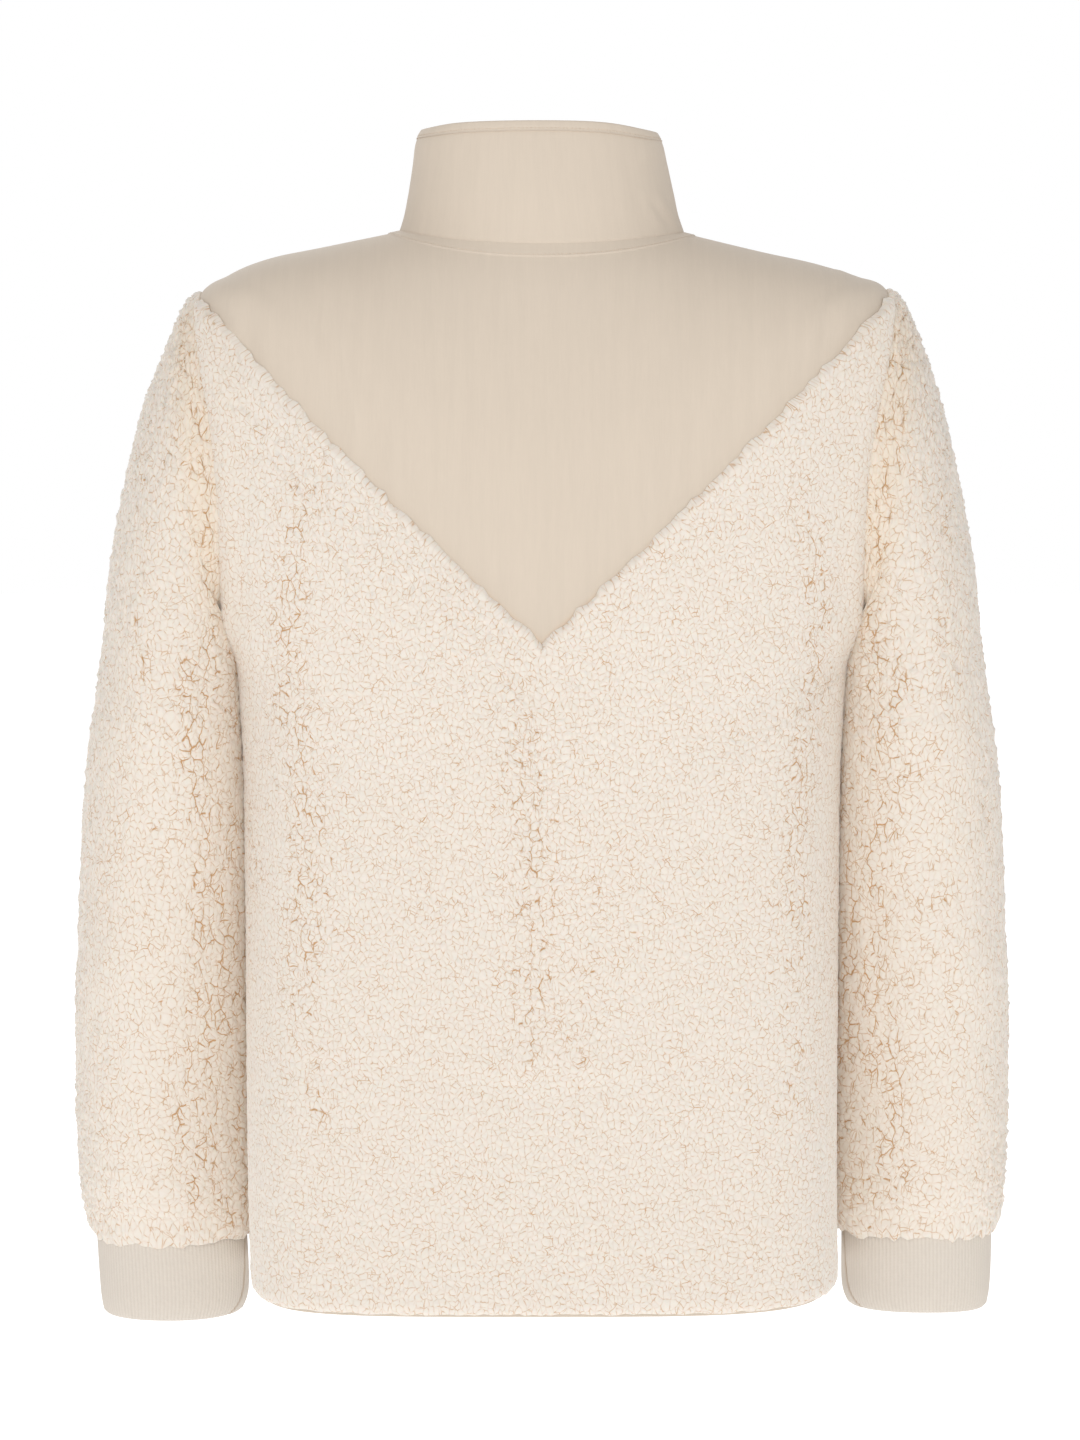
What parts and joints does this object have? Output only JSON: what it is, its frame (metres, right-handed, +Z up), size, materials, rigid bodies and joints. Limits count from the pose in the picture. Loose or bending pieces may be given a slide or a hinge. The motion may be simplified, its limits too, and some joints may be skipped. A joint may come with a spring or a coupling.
{
  "type": "button-front top",
  "caption": "Long-sleeved, stand-collar top in curly pile with smooth V yokes, ribbed cuffs and a buttoned front, standing open as if worn.",
  "frame": {"origin": "middle of the neck opening, level with the highest shoulder points, where the top is held when worn", "axes": "+Z up, the front faces -Y, +X is the wearer's left"},
  "size_m": [0.6496, 0.2623, 0.8306],
  "materials": {
    "pile": "curly pile",
    "woven": "smooth plain weave",
    "rib": "knitted rib",
    "button": "satin"
  },
  "bodies": {
    "root": {"back": "pile", "front_left": "pile", "front_right": "pile", "sleeve_left": "pile", "sleeve_right": "pile", "yoke_back": "woven", "yoke_front_left": "woven", "yoke_front_right": "woven", "collar": "woven", "collar_binding": "woven", "hem_facing": "woven", "band_top": "woven", "band_under": "woven", "cuff_left": "rib", "cuff_right": "rib", "button_1": "button", "button_2": "button", "button_3": "button", "button_4": "button", "button_5": "button", "button_6": "button", "button_7": "button"}
  },
  "joints": []
}
